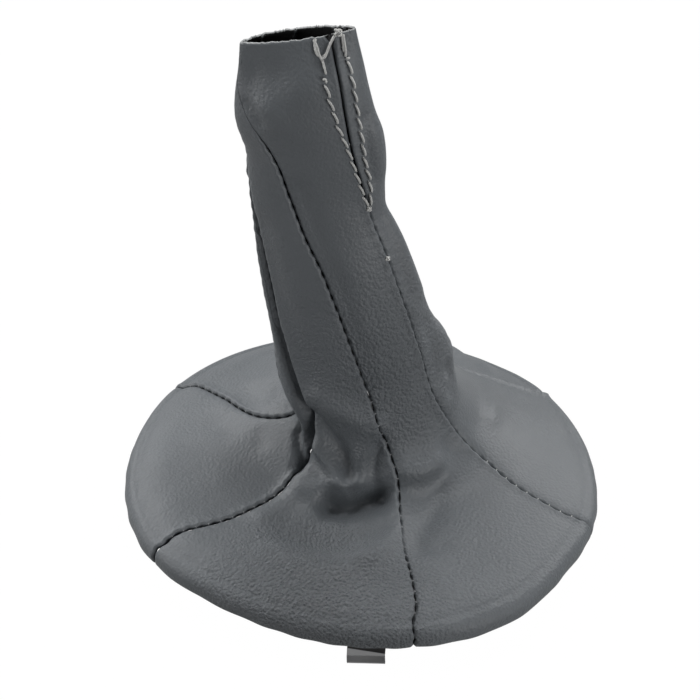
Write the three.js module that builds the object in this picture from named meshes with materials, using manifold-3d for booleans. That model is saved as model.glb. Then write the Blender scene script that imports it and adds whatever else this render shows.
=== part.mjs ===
// Gear lever gaiter: six sewn panels of grey imitation leather, gathered round a
// leaning lever tube and wrapped under a round moulded frame with snap clips.
// Millimetres, +Z up. The origin lies under the middle of the round rim, on the
// plane of the clips' feet. The front seam faces -Y, and the tube leans to -X.
import * as THREE from 'three';
import { mergeVertices } from 'three/addons/utils/BufferGeometryUtils.js';
import Module from 'manifold-3d';

// Rim, as the leather covers it
const rimRadius = 75;
const rimHeight = 8;
const rimFootRound = 1.2;
const rimTopRound = 4;
const hemWidth = 2.6;
// The rim isn't quite round: how far it stands out at each bearing from the front,
// as a mean over a few degrees, and the mesh rows over which that fades above it
const rimSway = {
  bearings: [-90, -75, -55, -40, -25, -10, 10, 27, 40, 58, 75, 95, 120, 132, 148, 180, 220, 245, 258, 270],
  out: [0.7, 1.6, 1.6, -0.5, -1.4, -0.2, 0.8, 1.8, 1.6, -1.2, 0.6, 0.6, 1.6, 2.6, 0.9, 0.3, 1.2, 0.9, 0, 0.7],
  corner: 6,
  fades: [4, 6.5],
};

// Leather, and the gap between two panels that are sewn together
const leather = 0.9;
const seamGap = 0.36;
const edgeRound = 0.8;
// Rows between which the seam allowance stands at its full depth under the leather
const allowance = { starts: 0.2, full: 1.5, ends: 6.5, gone: 8.5 };
// A panel's side: how many thicknesses down its outer face's middle point lies, where
// its inner face's first two points lie with no allowance turned in, how far under the
// leather an allowance starts and how far from there the plain part begins
const sideForm = { shoulder: 0.4, first: 0.35, second: 0.7, corner: 0.3, past: 0.4 };

// Moulded frame and its clips
const frameGap = 0.45;
const frameWidth = 10;
const frameFloor = 2.2;
const frameWall = 2.4;
const frameChamfer = 2.2;
const frameSegments = 96;
const clipCount = 4;
const clipWidth = 11.4;
const clipAngle = 2.7;
const clipReach = 9.2;
const clipInset = 4.4;
const clipLeg = 2;
const catchDrop = 6.9;
const barbReach = 2.9;
const barbNose = 0.4;
const clipFoot = 0.3;

// Ovals that the leather passes through, from the skirt up to the open mouth. Each
// has its middle (its height is above the seat), its half widths, the rise of its
// right and back ends over its middle, and the mesh rows that lead up to it.
const ovals = [
  { name: 'skirt outer', at: [0, 0, 11.2], side: 64.5, front: 64.5, back: 64.5, rise: [0.2, 1.2], rows: 2 },
  { name: 'skirt mid', at: [0, 1, 15.4], side: 50, front: 48, back: 51, rise: [1.5, 4.5], rows: 2 },
  { name: 'skirt inner', at: [2, 3, 21], side: 36, front: 32, back: 37, rise: [2, 9.5], rows: 4 },
  { name: 'foot', at: [3.5, 3, 31], side: 26, front: 22, back: 26, rise: [2.5, 11], rows: 4 },
  { name: 'shank root', at: [-1.3, 2, 45], side: 26.7, front: 16.8, back: 19, rise: [4, 8], rows: 3 },
  { name: 'shank low', at: [-6.2, 2, 61], side: 24.8, front: 14.6, back: 14, rise: [4, 4], rows: 2 },
  { name: 'shank mid', at: [-13.5, 1, 87], side: 22.2, front: 10.9, back: 12, rise: [4, 1], rows: 2 },
  { name: 'slit foot', at: [-17.6, 1, 101], side: 20.2, front: 9.2, back: 11, rise: [3.5, 0.5], rows: 2 },
  { name: 'shank high', at: [-19.5, 1, 113], side: 20, front: 8.7, back: 10, rise: [3.2, 0], rows: 2 },
  { name: 'slit mid', at: [-20.6, 0.5, 126], side: 19.8, front: 8.8, back: 9, rise: [3.2, 0], rows: 2 },
  { name: 'neck', at: [-24.2, 0, 140], side: 19.5, front: 8.8, back: 7, rise: [3.2, 0], rows: 2 },
  { name: 'mouth', at: [-26.5, 0, 161.6], side: 16.2, front: 3.1, back: 4.6, rise: [3.2, 0], rows: 2 },
];
// How far the sides of the tube's ovals are drawn out towards a point, and the ovals
// between which that grows from nothing
const pinch = { most: 0.15, from: 4, to: 6 };

// Seams in order round the boot. Each has its bearing from the front, in degrees
// towards +X, on the rim and then on every oval of the list above, and the depth of
// the allowance that is turned in along it.
const seams = {
  front: { turnedIn: 2.8, on: [13, 15, 16, 16, 13.5, 9.7, 4.8, -4.5, -13, -21.5, -34, -54, -115] },
  slit: { turnedIn: 2.8, on: [74, 72.5, 72.5, 74, 69, 54, 55.5, 54, 52.5, 47.5, 42.5, 38.5, 35.5] },
  backRight: { turnedIn: 2.8, on: [128, 130, 139, 142, 130, 112, 112, 114, 116, 118, 120, 122, 124] },
  back: { turnedIn: 2.8, on: [180, 180, 180, 179, 176, 170, 166, 160, 156, 152, 148, 144, 140] },
  backLeft: { turnedIn: 2.8, on: [239, 239, 246, 262, 272, 276, 265, 252, 240, 228, 215, 200, 182] },
  frontLeft: { turnedIn: 1.4, on: [305, 305, 310, 311, 303.5, 313, 299.5, 289, 280, 273, 262, 242, 218] },
};
const columns = 8;

// Folds: a line over the leather in millimetres above the seat, the half width of
// the fold and how far it pushes the leather out, or in where that is negative
const folds = [
  {
    name: 'hollow before the tube', push: -4.6, width: 3.8,
    line: [[-9.1, -25.4, 12.3], [-4.6, -26.4, 12], [1, -26.2, 12.5], [5.6, -25, 13.5]],
  },
  {
    name: 'crease to the hollow', push: -2.9, width: 3.2,
    line: [[-15, -12, 36], [-9.4, -13.8, 31.1], [-6.6, -15.4, 25.3], [-4.1, -17.8, 20.3], [-2.4, -21.3, 16]],
  },
  {
    name: 'lobe left of the crease', push: 2.4, width: 3.2,
    line: [[-17.4, -15, 17.3], [-13.6, -18.2, 16.2], [-10, -20, 15.4], [-7, -20.6, 15.4]],
  },
  {
    name: 'ridge beside the front seam', push: 2, width: 2.8,
    line: [[2.8, -13.7, 38], [1.4, -14.9, 32.7], [-0.2, -16.2, 26.5], [-1.2, -18, 20.8], [-1.4, -20, 17.2]],
  },
  {
    name: 'band by the front seam', push: 1.9, width: 3.4,
    line: [[9.6, -24, 14.5], [10.1, -30, 12], [9.4, -37.5, 11.2], [7.4, -45.8, 11.2], [3.6, -51.1, 10.8]],
  },
  {
    name: 'dome by the rim', push: 1.9, width: 8,
    line: [[-19.8, -58, 10], [-8.5, -57, 10.3], [3.3, -53.6, 10.7]],
  },
  {
    name: 'soft dip', push: -1.2, width: 7,
    line: [[-23.4, -36.1, 10.8], [-17.4, -38.1, 10.7], [-10, -39.5, 10.6]],
  },
  {
    name: 'left lobe', push: 1.1, width: 3.6,
    line: [[-30.9, -30.5, 11.3], [-25.5, -25.2, 11.6], [-20.7, -19.8, 13.4]],
  },
  {
    name: 'left pocket', push: -1.8, width: 2,
    line: [[-21.7, -3.2, 26.5], [-21.5, -7.7, 20.9], [-20.1, -11.8, 18.6]],
  },
  {
    name: 'bulge beside the front seam', push: 3.2, width: 5,
    line: [[11.6, -21.8, 16.6], [16.4, -20, 17.8], [21.4, -17.2, 19.2], [26.3, -13.4, 20.8]],
  },
  {
    name: 'long valley on the right', push: -1.8, width: 4.5,
    line: [[26.5, -10.2, 24.3], [23, -19.1, 17], [19.4, -29.8, 12.5], [16.8, -40.6, 11.8]],
  },
  {
    name: 'right swell', push: 0.8, width: 7,
    line: [[19.6, -53.1, 11], [28.8, -56.3, 10.5], [36.3, -58, 9.1]],
  },
  { name: 'hip', push: 1.6, width: 5, line: [[20, 4.5, 59], [22.5, 5.5, 54]] },
  {
    name: 'right valley', push: -0.9, width: 3.4,
    line: [[16.2, -1.8, 66.4], [20, -3.8, 53], [21.6, -4.4, 48]],
  },
  { name: 'back swell', push: 3.8, width: 8, line: [[19, 57, 12.6], [26, 56, 12.5], [33, 55, 12]] },
  { name: 'swell by the mouth', push: 1.5, width: 7, line: [[-30, -5.5, 147], [-16, -4.8, 150]] },
  {
    name: 'right flap', push: 0.9, width: 5,
    line: [[-2.4, -1.5, 132], [-1, -1.9, 126], [-0.2, -1.9, 120.5]],
  },
  {
    name: 'under the flap', push: -1.6, width: 3,
    line: [[1.6, -1.6, 107.4], [1.4, 1, 106.4], [1, 4, 105.6]],
  },
  {
    name: 'neck valley', push: -1.7, width: 3.2,
    line: [[-40.4, -2.8, 148], [-39.1, -3.8, 144.7], [-37, -5, 139.5]],
  },
];
// The front left seam lies in a pleat that grows shallow upwards: so many folds, each
// from the same row up to its own
const pleats = { seam: 'frontLeft', from: 7.7, to: [10.2, 11.4, 12.8], push: -1.35, width: 2.7, steps: 14 };

// Steps for the leather's normal, and the first row at which it is taken
const probe = { row: 0.02, bearing: 0.5, firstRow: 0.5 };
const weldTolerance = 1e-4;

const seatHeight = clipReach;
const rad = THREE.MathUtils.degToRad;
const mix = THREE.MathUtils.lerp;
const smooth = (t) => THREE.MathUtils.smoothstep(t, 0, 1);

// Value at row v of a list that has one value for each whole v
function between(list, v) {
  const last = list.length - 1;
  const i = Math.min(Math.floor(v), last - 1);
  const t = v - i;
  const [p0, p1, p2, p3] = [list[Math.max(i - 1, 0)], list[i], list[i + 1], list[Math.min(i + 2, last)]];
  const [m1, m2] = [(p2 - p0) / 2, (p3 - p1) / 2];
  const [t2, t3] = [t * t, t * t * t];
  return (2 * t3 - 3 * t2 + 1) * p1 + (t3 - 2 * t2 + t) * m1 + (3 * t2 - 2 * t3) * p2 + (t3 - t2) * m2;
}

// Rows 0 to 4 are the hem, the round foot, the side and the round top of the rim
const rimRows = 4;
const circle = (r, z) => ({ at: [0, 0, z], side: r, front: r, back: r, rise: [0, 0] });
const stations = [
  circle(rimRadius, rimHeight - rimTopRound),
  circle(rimRadius - rimTopRound, rimHeight),
  ...ovals,
];
const lanes = {
  x: stations.map((s) => s.at[0]),
  y: stations.map((s) => s.at[1]),
  height: stations.map((s) => s.at[2]),
  side: stations.map((s) => s.side),
  front: stations.map((s) => s.front),
  back: stations.map((s) => s.back),
  riseX: stations.map((s) => s.rise[0]),
  riseY: stations.map((s) => s.rise[1]),
};

// How far the rim stands out from its circle at a bearing and row
function sway(v, bearing) {
  const { bearings, out, corner, fades } = rimSway;
  const first = bearings[0];
  let sum = 0;
  for (const turn of [-corner, 0, corner]) {
    const at = first + THREE.MathUtils.euclideanModulo(bearing + turn - first, 360);
    const i = bearings.findLastIndex((b) => b <= at);
    const next = Math.min(i + 1, bearings.length - 1);
    sum += mix(out[i], out[next], (at - bearings[i]) / Math.max(bearings[next] - bearings[i], 1));
  }
  return sum / 3 * (1 - smooth((v - fades[0]) / (fades[1] - fades[0])));
}

function rimProfile(v) {
  const hemEdge = rimRadius - rimFootRound - hemWidth;
  if (v <= 1) return { r: hemEdge + hemWidth * v, z: 0 };
  if (v <= 2) {
    const a = (v - 1) * Math.PI / 2;
    return { r: rimRadius - rimFootRound * (1 - Math.sin(a)), z: rimFootRound * (1 - Math.cos(a)) };
  }
  if (v <= 3) return { r: rimRadius, z: rimFootRound + (rimHeight - rimTopRound - rimFootRound) * (v - 2) };
  const a = (v - 3) * Math.PI / 2;
  return { r: rimRadius - rimTopRound * (1 - Math.cos(a)), z: rimHeight - rimTopRound * (1 - Math.sin(a)) };
}

// Point of the unfolded leather at row v and bearing in degrees
function basePoint(v, bearing) {
  const a = rad(bearing);
  const toSide = Math.sin(a);
  const toBack = -Math.cos(a);
  const out = sway(v, bearing);
  if (v <= rimRows) {
    const { r, z } = rimProfile(v);
    return new THREE.Vector3((r + out) * toSide, (r + out) * toBack, z);
  }
  const k = v - rimRows + 1;
  const s = Object.fromEntries(Object.entries(lanes).map(([key, list]) => [key, between(list, k)]));
  const pointed = pinch.most * smooth((k - pinch.from) / (pinch.to - pinch.from));
  const lengthways = toBack * Math.abs(toBack) ** pointed;
  const half = mix(s.front, s.back, (1 + toBack) / 2);
  return new THREE.Vector3(
    s.x + s.side * toSide + out * toSide,
    s.y + half * lengthways + out * toBack,
    s.height + s.riseX * toSide + s.riseY * toBack,
  );
}

function normalAt(place, v, bearing) {
  const { row: dv, bearing: db } = probe;
  const up = place(v + dv, bearing).sub(place(v - dv, bearing));
  const along = place(v, bearing + db).sub(place(v, bearing - db));
  return along.cross(up).normalize();
}

function seamBearing(seam, v) {
  const { on } = seams[seam];
  return v <= rimRows ? on[0] : between([on[0], ...on], v - rimRows + 1);
}

const pleatFolds = pleats.to.map((top) => ({
  push: pleats.push,
  width: pleats.width,
  line: Array.from({ length: pleats.steps + 1 }, (_, i) => {
    const v = mix(pleats.from, top, i / pleats.steps);
    return basePoint(v, seamBearing(pleats.seam, v)).toArray();
  }),
}));
const allFolds = [...folds, ...pleatFolds].map((fold) => ({
  ...fold,
  line: fold.line.map((p) => new THREE.Vector3(...p)),
}));

function foldPush(point) {
  const nearest = new THREE.Vector3();
  let push = 0;
  for (const fold of allFolds) {
    let best = Infinity;
    for (let i = 1; i < fold.line.length; i++) {
      new THREE.Line3(fold.line[i - 1], fold.line[i]).closestPointToPoint(point, true, nearest);
      best = Math.min(best, nearest.distanceTo(point));
    }
    push += fold.push * Math.exp(-((best / fold.width) ** 2));
  }
  return push;
}

// Point of the leather's outer face, with its folds
function skinPoint(v, bearing) {
  const point = basePoint(v, bearing);
  if (v <= rimRows) return point;
  return point.addScaledVector(normalAt(basePoint, v, bearing), foldPush(point));
}

// Rows of the mesh: the rim's own, then so many up to each oval
const rowMarks = [0, 1, 1.5, 2, 3, 3.5, rimRows];
ovals.forEach(({ rows }, i) => {
  for (let r = 1; r <= rows; r++) rowMarks.push(rimRows + i + r / rows);
});

// How far the seam allowance is turned in at so many rows above the rim, 0 to 1
function allowanceAt(k) {
  const { starts, full, ends, gone } = allowance;
  return smooth((k - starts) / (full - starts)) * (1 - smooth((k - ends) / (gone - ends)));
}

// One panel between two seams: a sheet of the leather's thickness whose two sides
// turn in along the seams, back to back with the neighbours
function panelGeometry(startSeam, endSeam) {
  const outer = [];
  const inner = [];
  for (const v of rowMarks) {
    const start = seamBearing(startSeam, v);
    let end = seamBearing(endSeam, v);
    if (end < start) end += 360;
    const turnIn = allowanceAt(v - rimRows);
    const edge = (seam, bearing, side) => {
      const depth = mix(leather / 2, seams[seam].turnedIn, turnIn);
      const at = skinPoint(v, bearing);
      const out = normalAt(skinPoint, Math.max(v, probe.firstRow), bearing);
      const along = skinPoint(v, bearing + probe.bearing);
      along.sub(skinPoint(v, bearing - probe.bearing)).normalize().multiplyScalar(side);
      const put = (across, down) => at.clone().addScaledVector(along, across).addScaledVector(out, -down);
      const g = seamGap / 2;
      const l = leather;
      return {
        outer: [put(g, depth), put(g, l * sideForm.shoulder), put(g + edgeRound, 0)],
        inner: [
          put(g + mix(sideForm.first, l, turnIn), mix(l, depth, turnIn)),
          put(g + mix(sideForm.second, l, turnIn), l + sideForm.corner * turnIn),
          put(g + l + sideForm.past, l),
        ],
      };
    };
    const first = edge(startSeam, start, 1);
    const final = edge(endSeam, end, -1);
    const mid = { outer: [], inner: [] };
    for (let c = 1; c < columns; c++) {
      const bearing = start + (end - start) * c / columns;
      const at = skinPoint(v, bearing);
      const out = normalAt(skinPoint, Math.max(v, probe.firstRow), bearing);
      mid.outer.push(at);
      mid.inner.push(at.clone().addScaledVector(out, -leather));
    }
    outer.push([...first.outer, ...mid.outer, ...final.outer.reverse()]);
    inner.push([...first.inner, ...mid.inner, ...final.inner.reverse()]);
  }
  return sheetGeometry(outer, inner);
}

// Closed body from two equal grids of points, its outer and inner faces
function sheetGeometry(outer, inner) {
  const rows = outer.length;
  const cols = outer[0].length;
  const points = [...outer.flat(), ...inner.flat()];
  const o = (r, c) => r * cols + c;
  const i = (r, c) => rows * cols + r * cols + c;
  const index = [];
  const quad = (a, b, c, d) => index.push(a, b, c, a, c, d);
  for (let r = 0; r < rows - 1; r++) {
    for (let c = 0; c < cols - 1; c++) {
      // Diagonals mirror about the middle, so that the sides match the neighbours
      if (c < (cols - 1) / 2) {
        quad(o(r, c), o(r, c + 1), o(r + 1, c + 1), o(r + 1, c));
        quad(i(r, c), i(r + 1, c), i(r + 1, c + 1), i(r, c + 1));
      } else {
        quad(o(r, c + 1), o(r + 1, c + 1), o(r + 1, c), o(r, c));
        quad(i(r, c + 1), i(r, c), i(r + 1, c), i(r + 1, c + 1));
      }
    }
    quad(o(r, 0), o(r + 1, 0), i(r + 1, 0), i(r, 0));
    quad(o(r, cols - 1), i(r, cols - 1), i(r + 1, cols - 1), o(r + 1, cols - 1));
  }
  for (let c = 0; c < cols - 1; c++) {
    quad(o(0, c), i(0, c), i(0, c + 1), o(0, c + 1));
    quad(o(rows - 1, c), o(rows - 1, c + 1), i(rows - 1, c + 1), i(rows - 1, c));
  }
  const geometry = new THREE.BufferGeometry();
  geometry.setAttribute('position', new THREE.Float32BufferAttribute(points.flatMap((p) => p.toArray()), 3));
  geometry.setIndex(index);
  return geometry;
}

const wasm = await Module();
wasm.setup();

function toSolid(geometry) {
  const bare = geometry.clone();
  bare.deleteAttribute('normal');
  bare.deleteAttribute('uv');
  const merged = mergeVertices(bare, weldTolerance);
  return new wasm.Manifold(new wasm.Mesh({
    numProp: 3,
    vertProperties: new Float32Array(merged.attributes.position.array),
    triVerts: new Uint32Array(merged.index.array),
  }));
}

function fromSolid(solid) {
  const { vertProperties, triVerts } = solid.getMesh();
  const geometry = new THREE.BufferGeometry();
  geometry.setAttribute('position', new THREE.BufferAttribute(new Float32Array(vertProperties), 3));
  geometry.setIndex(new THREE.BufferAttribute(new Uint32Array(triVerts), 1));
  geometry.computeVertexNormals();
  return geometry;
}

// Frame: a flat ring with an upright wall at its outer edge, turned in one profile
function frameRing() {
  const outerRadius = rimRadius + Math.min(...rimSway.out) - leather - frameGap;
  const floor = leather + frameGap;
  const top = rimHeight - leather - frameGap;
  const profile = [
    [outerRadius - frameWidth, floor],
    [outerRadius, floor],
    [outerRadius, top - frameChamfer],
    [outerRadius - frameChamfer, top],
    [outerRadius - frameWall, top],
    [outerRadius - frameWall, floor + frameFloor],
    [outerRadius - frameWidth, floor + frameFloor],
    [outerRadius - frameWidth, floor],
  ].map(([r, z]) => new THREE.Vector2(r, z));
  return new THREE.LatheGeometry(profile, frameSegments).rotateX(Math.PI / 2);
}

// Snap clip: a leg that hangs from the ring, with a barb that faces outwards. The
// barb's flat top is the catch, and its underside slopes in to the foot.
function clip() {
  const legOuter = rimRadius - clipInset;
  const root = leather + frameGap + frameFloor / 2;
  const shape = new THREE.Shape([
    [legOuter - clipLeg, root],
    [legOuter - clipLeg, -clipReach],
    [legOuter + clipFoot, -clipReach],
    [legOuter + barbReach, -catchDrop - barbNose],
    [legOuter + barbReach, -catchDrop],
    [legOuter, -catchDrop],
    [legOuter, root],
  ].map(([r, z]) => new THREE.Vector2(r, z)));
  const body = new THREE.ExtrudeGeometry(shape, { depth: clipWidth, bevelEnabled: false });
  return body.translate(0, 0, -clipWidth / 2).rotateX(Math.PI / 2);
}

function frameGeometry() {
  let solid = toSolid(frameRing());
  for (let n = 0; n < clipCount; n++) {
    const turn = rad(clipAngle + 360 * n / clipCount) - Math.PI / 2;
    solid = solid.add(toSolid(clip().rotateZ(turn)));
  }
  return fromSolid(solid);
}

const leatherFinish = () => new THREE.MeshStandardMaterial({ color: 0x5b5f63, roughness: 0.5, metalness: 0 });
const frameFinish = new THREE.MeshStandardMaterial({ color: 0x161718, roughness: 0.55, metalness: 0 });

const gaiter = new THREE.Group();
gaiter.position.z = seatHeight;

const frame = new THREE.Mesh(frameGeometry(), frameFinish);
frame.name = 'base_frame';
gaiter.add(frame);

const panels = {
  panel_front_right: ['front', 'slit'],
  panel_right: ['slit', 'backRight'],
  panel_back_right: ['backRight', 'back'],
  panel_back_left: ['back', 'backLeft'],
  panel_left: ['backLeft', 'frontLeft'],
  panel_front_left: ['frontLeft', 'front'],
};
for (const [name, [startSeam, endSeam]] of Object.entries(panels)) {
  const panel = new THREE.Mesh(panelGeometry(startSeam, endSeam), leatherFinish());
  panel.name = name;
  gaiter.add(panel);
}

export default gaiter;
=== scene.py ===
import math

import bpy
import numpy as np
from mathutils import Matrix, Vector


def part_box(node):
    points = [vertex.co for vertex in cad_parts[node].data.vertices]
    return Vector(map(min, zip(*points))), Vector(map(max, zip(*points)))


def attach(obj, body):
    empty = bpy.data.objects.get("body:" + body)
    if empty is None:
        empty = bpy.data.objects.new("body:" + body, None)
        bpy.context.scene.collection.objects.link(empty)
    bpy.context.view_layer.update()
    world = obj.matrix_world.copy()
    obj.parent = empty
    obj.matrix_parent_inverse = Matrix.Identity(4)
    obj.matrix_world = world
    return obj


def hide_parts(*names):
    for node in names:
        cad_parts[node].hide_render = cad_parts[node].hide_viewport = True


# A gear lever gaiter: six leather panels, sewn into a leaning tube with a wide skirt,
# which is wrapped over a round frame with snap clips.

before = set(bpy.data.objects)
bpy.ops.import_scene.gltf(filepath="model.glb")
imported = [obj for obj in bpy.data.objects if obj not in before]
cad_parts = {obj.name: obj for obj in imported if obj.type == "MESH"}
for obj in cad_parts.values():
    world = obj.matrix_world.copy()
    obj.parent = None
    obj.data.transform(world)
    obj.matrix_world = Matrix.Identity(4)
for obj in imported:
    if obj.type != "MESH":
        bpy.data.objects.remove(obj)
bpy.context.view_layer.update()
mm = 0.001
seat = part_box("panel_front_left")[0].z


# Camera and light

camera = dict(
    distance=650, tilt=36, roll=3.3, lens=109.95, sensor=36, near=0.01, far=20,
    lookAt=(-6.7, -8, 60),  # its height is above the seat
)


def addCamera():
    tilt, roll = math.radians(camera["tilt"]), math.radians(camera["roll"])
    back = Vector((0, -math.cos(tilt), math.sin(tilt)))
    right = Vector((1, 0, 0))
    up = right.cross(-back)
    rolledRight = right * math.cos(roll) + up * math.sin(roll)
    rolledUp = up * math.cos(roll) - right * math.sin(roll)
    data = bpy.data.cameras.new("camera")
    data.lens, data.sensor_width = camera["lens"], camera["sensor"]
    data.clip_start, data.clip_end = camera["near"], camera["far"]
    cam = bpy.data.objects.new("camera", data)
    turn = Matrix((rolledRight, rolledUp, back)).transposed().to_4x4()
    place = (Vector(camera["lookAt"]) + back * camera["distance"]) * mm + Vector((0, 0, seat))
    cam.matrix_world = Matrix.Translation(place) @ turn
    bpy.context.scene.collection.objects.link(cam)
    bpy.context.scene.camera = cam


lampsAim = (0, 0, 0.06)
lamps = [
    dict(name="overhead", at=(0.1, 0.1, 1.2), size=0.25, power=5.2),
    dict(name="leftHigh", at=(-0.7, 0, 0.7), size=0.6, power=2.2),
    dict(name="leftLow", at=(-0.95, -0.1, 0.25), size=0.6, power=3.2),
    dict(name="leftBack", at=(-0.6, 0.6, 0.55), size=0.6, power=4.6),
    dict(name="rightBack", at=(0.6, 0.6, 0.55), size=0.6, power=5.2),
    dict(name="rightFront", at=(0.7, -0.7, 0.15), size=0.6, power=6),
]


def addLamps():
    for lamp in lamps:
        data = bpy.data.lights.new(lamp["name"], "AREA")
        data.energy, data.size = lamp["power"], lamp["size"]
        light = bpy.data.objects.new(lamp["name"], data)
        light.location = lamp["at"]
        aim = Vector(lampsAim) - Vector(lamp["at"])
        light.rotation_mode = "QUATERNION"
        light.rotation_quaternion = aim.to_track_quat("-Z", "Y")
        bpy.context.scene.collection.objects.link(light)


# Materials

class Wire:
    # a socket that gives a value, so that sums on it read as Python
    def __init__(self, nodes, socket):
        self.nodes, self.socket = nodes, socket

    def sum(self, operation, first, second):
        return self.nodes.node("ShaderNodeMath", dict(operation=operation), {0: first, 1: second})

    def __add__(self, other):
        return self.sum("ADD", self, other)

    def __radd__(self, other):
        return self.sum("ADD", other, self)

    def __sub__(self, other):
        return self.sum("SUBTRACT", self, other)

    def __rsub__(self, other):
        return self.sum("SUBTRACT", other, self)

    def __mul__(self, other):
        return self.sum("MULTIPLY", self, other)

    def __rmul__(self, other):
        return self.sum("MULTIPLY", other, self)


class Nodes:
    # adds nodes to the tree of a material or of the world
    def __init__(self, tree):
        self.tree = tree

    def set(self, node, inputs):
        for key, value in inputs.items():
            if isinstance(value, Wire):
                self.tree.links.new(value.socket, node.inputs[key])
            else:
                node.inputs[key].default_value = value

    def node(self, kind, settings, inputs, output=0):
        made = self.tree.nodes.new(kind)
        for key, value in settings.items():
            setattr(made, key, value)
        self.set(made, inputs)
        return Wire(self, made.outputs[output])


class Finish(Nodes):
    # a material, with the nodes that its looks need
    def __init__(self, name, color, roughness):
        self.material = bpy.data.materials.new(name)
        self.material.use_nodes = True
        super().__init__(self.material.node_tree)
        self.shader = self.tree.nodes["Principled BSDF"]
        self.set(self.shader, {"Base Color": (*color, 1), "Roughness": roughness})

    def place(self):
        return self.node("ShaderNodeTexCoord", {}, {}, "Object")

    def noise(self, scale, detail, rough=0.5):
        return self.node(
            "ShaderNodeTexNoise", {},
            {"Vector": self.place(), "Scale": scale, "Detail": detail, "Roughness": rough},
        )

    def cells(self, scale):
        return self.node(
            "ShaderNodeTexVoronoi", dict(feature="SMOOTH_F1"),
            {"Vector": self.place(), "Scale": scale}, "Distance",
        )

    def vectorValue(self, operation, vector):
        # what the operation makes of the place and one vector, as a number
        return self.node(
            "ShaderNodeVectorMath", dict(operation=operation), {0: self.place(), 1: vector}, "Value",
        )

    def share(self, value, none, full):
        # nought where the value is none, one where it is full
        return self.node("ShaderNodeMapRange", {}, {"Value": value, "From Min": none, "From Max": full})

    def blend(self, factor, dark, light):
        # a Mix node has its colours on inputs 6 and 7 and on output 2
        return self.node(
            "ShaderNodeMix", dict(data_type="RGBA"),
            {"Factor": factor, 6: (*dark, 1), 7: (*light, 1)}, 2,
        )

    def bump(self, height, strength, distance):
        return self.node(
            "ShaderNodeBump", {},
            {"Height": height, "Strength": strength, "Distance": distance},
        )


# scales are in waves or cells to the metre, depths in metres
leatherette = dict(
    dark=(0.1, 0.1095, 0.1185), light=(0.127, 0.1385, 0.149), clouds=28,
    roughness=0.4, rougher=0.14,
    pebbles=1150, pebbleShare=0.8, creases=2600, creaseShare=0.4,
    strength=0.9, depth=0.0004,
    evenGrain=0.6,
    grainPatches=[  # where the leather is slack, its grain is deeper
        dict(at=(-0.012, -0.066, 0.014), reach=0.042, more=9),
        dict(at=(0.008, -0.014, 0.066), reach=0.04, more=2.2),
        dict(at=(0.03, -0.05, 0.014), reach=0.035, more=0.9),
    ],
)


def leatherFinish():
    look = leatherette
    finish = Finish("leatherette", look["dark"], look["roughness"])
    clouds = finish.noise(look["clouds"], detail=3)
    pebbles = finish.cells(look["pebbles"])
    creases = finish.noise(look["creases"], detail=3, rough=0.6)
    grain = look["evenGrain"]
    for patch in look["grainPatches"]:
        away = finish.vectorValue("DISTANCE", patch["at"])
        grain = finish.share(away, patch["reach"], 0) * patch["more"] + grain
    height = (creases * look["creaseShare"] - pebbles * look["pebbleShare"]) * grain
    finish.set(finish.shader, {
        "Base Color": finish.blend(clouds, look["dark"], look["light"]),
        "Roughness": clouds * look["rougher"] + look["roughness"],
        "Normal": finish.bump(height, look["strength"], look["depth"]),
    })
    return finish.material


backing = dict(
    dark=(0.008, 0.008, 0.009), light=(0.032, 0.032, 0.034), roughness=0.95,
    weave=3500, strength=0.6, depth=0.0002,
)


def backingFinish():
    finish = Finish("backing", backing["light"], backing["roughness"])
    weave = finish.noise(backing["weave"], detail=2)
    finish.set(finish.shader, {
        "Base Color": finish.blend(weave, backing["dark"], backing["light"]),
        "Normal": finish.bump(weave, backing["strength"], backing["depth"]),
    })
    return finish.material


rawEdge = dict(dark=(0.12, 0.12, 0.125), light=(0.6, 0.62, 0.62), roughness=0.9, fray=2200)


def rawEdgeFinish():
    finish = Finish("rawEdge", rawEdge["light"], rawEdge["roughness"])
    fray = finish.noise(rawEdge["fray"], detail=2)
    finish.set(finish.shader, {
        "Base Color": finish.blend(fray, rawEdge["dark"], rawEdge["light"]),
    })
    return finish.material


thread = dict(
    roughness=0.55, twist=3000, strength=0.5, depth=0.0001,
    plies=dict(
        pale=dict(dark=(0.36, 0.36, 0.35), light=(0.72, 0.72, 0.7)),
        grey=dict(dark=(0.13, 0.135, 0.14), light=(0.3, 0.31, 0.32)),
    ),
)


def threadFinish(ply):
    shades = thread["plies"][ply]
    finish = Finish(ply + "Thread", shades["light"], thread["roughness"])
    twist = finish.noise(thread["twist"], detail=1)
    finish.set(finish.shader, {
        "Base Color": finish.blend(twist, shades["dark"], shades["light"]),
        "Normal": finish.bump(twist, thread["strength"], thread["depth"]),
    })
    return finish.material


framePlastic = dict(
    color=(0.008, 0.008, 0.0085), roughness=0.36, rougher=0.2,
    spark=1800, strength=0.3, depth=0.00008,
    # painted highlight: the front clip's toe, below this slanted plane, is coloured pale grey in place of the
    # light on its catch
    toeHighlight=dict(color=(0.42, 0.42, 0.425), across=(0.115, 0.59, 0.81), top=-0.03794, blur=0.0002),
)


def plasticFinish():
    toeHighlight = framePlastic["toeHighlight"]
    finish = Finish("framePlastic", framePlastic["color"], framePlastic["roughness"])
    spark = finish.noise(framePlastic["spark"], detail=3)
    across = finish.vectorValue("DOT_PRODUCT", toeHighlight["across"])
    onToeHighlight = finish.share(across, toeHighlight["top"] + toeHighlight["blur"], toeHighlight["top"])
    # the pale toe below the plane is a painted highlight, not the plastic's own colour
    finish.set(finish.shader, {
        "Base Color": finish.blend(onToeHighlight, framePlastic["color"], toeHighlight["color"]),
        "Roughness": spark * framePlastic["rougher"] + framePlastic["roughness"],
        "Normal": finish.bump(spark, framePlastic["strength"], framePlastic["depth"]),
    })
    return finish.material


# The leather's surface. Lengths here are in millimetres above the seat, which is the
# plane on which the rim lies. A place on the leather is a row, from 0 at the hem to
# topRow at the mouth, and a bearing in degrees from the front.

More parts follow.
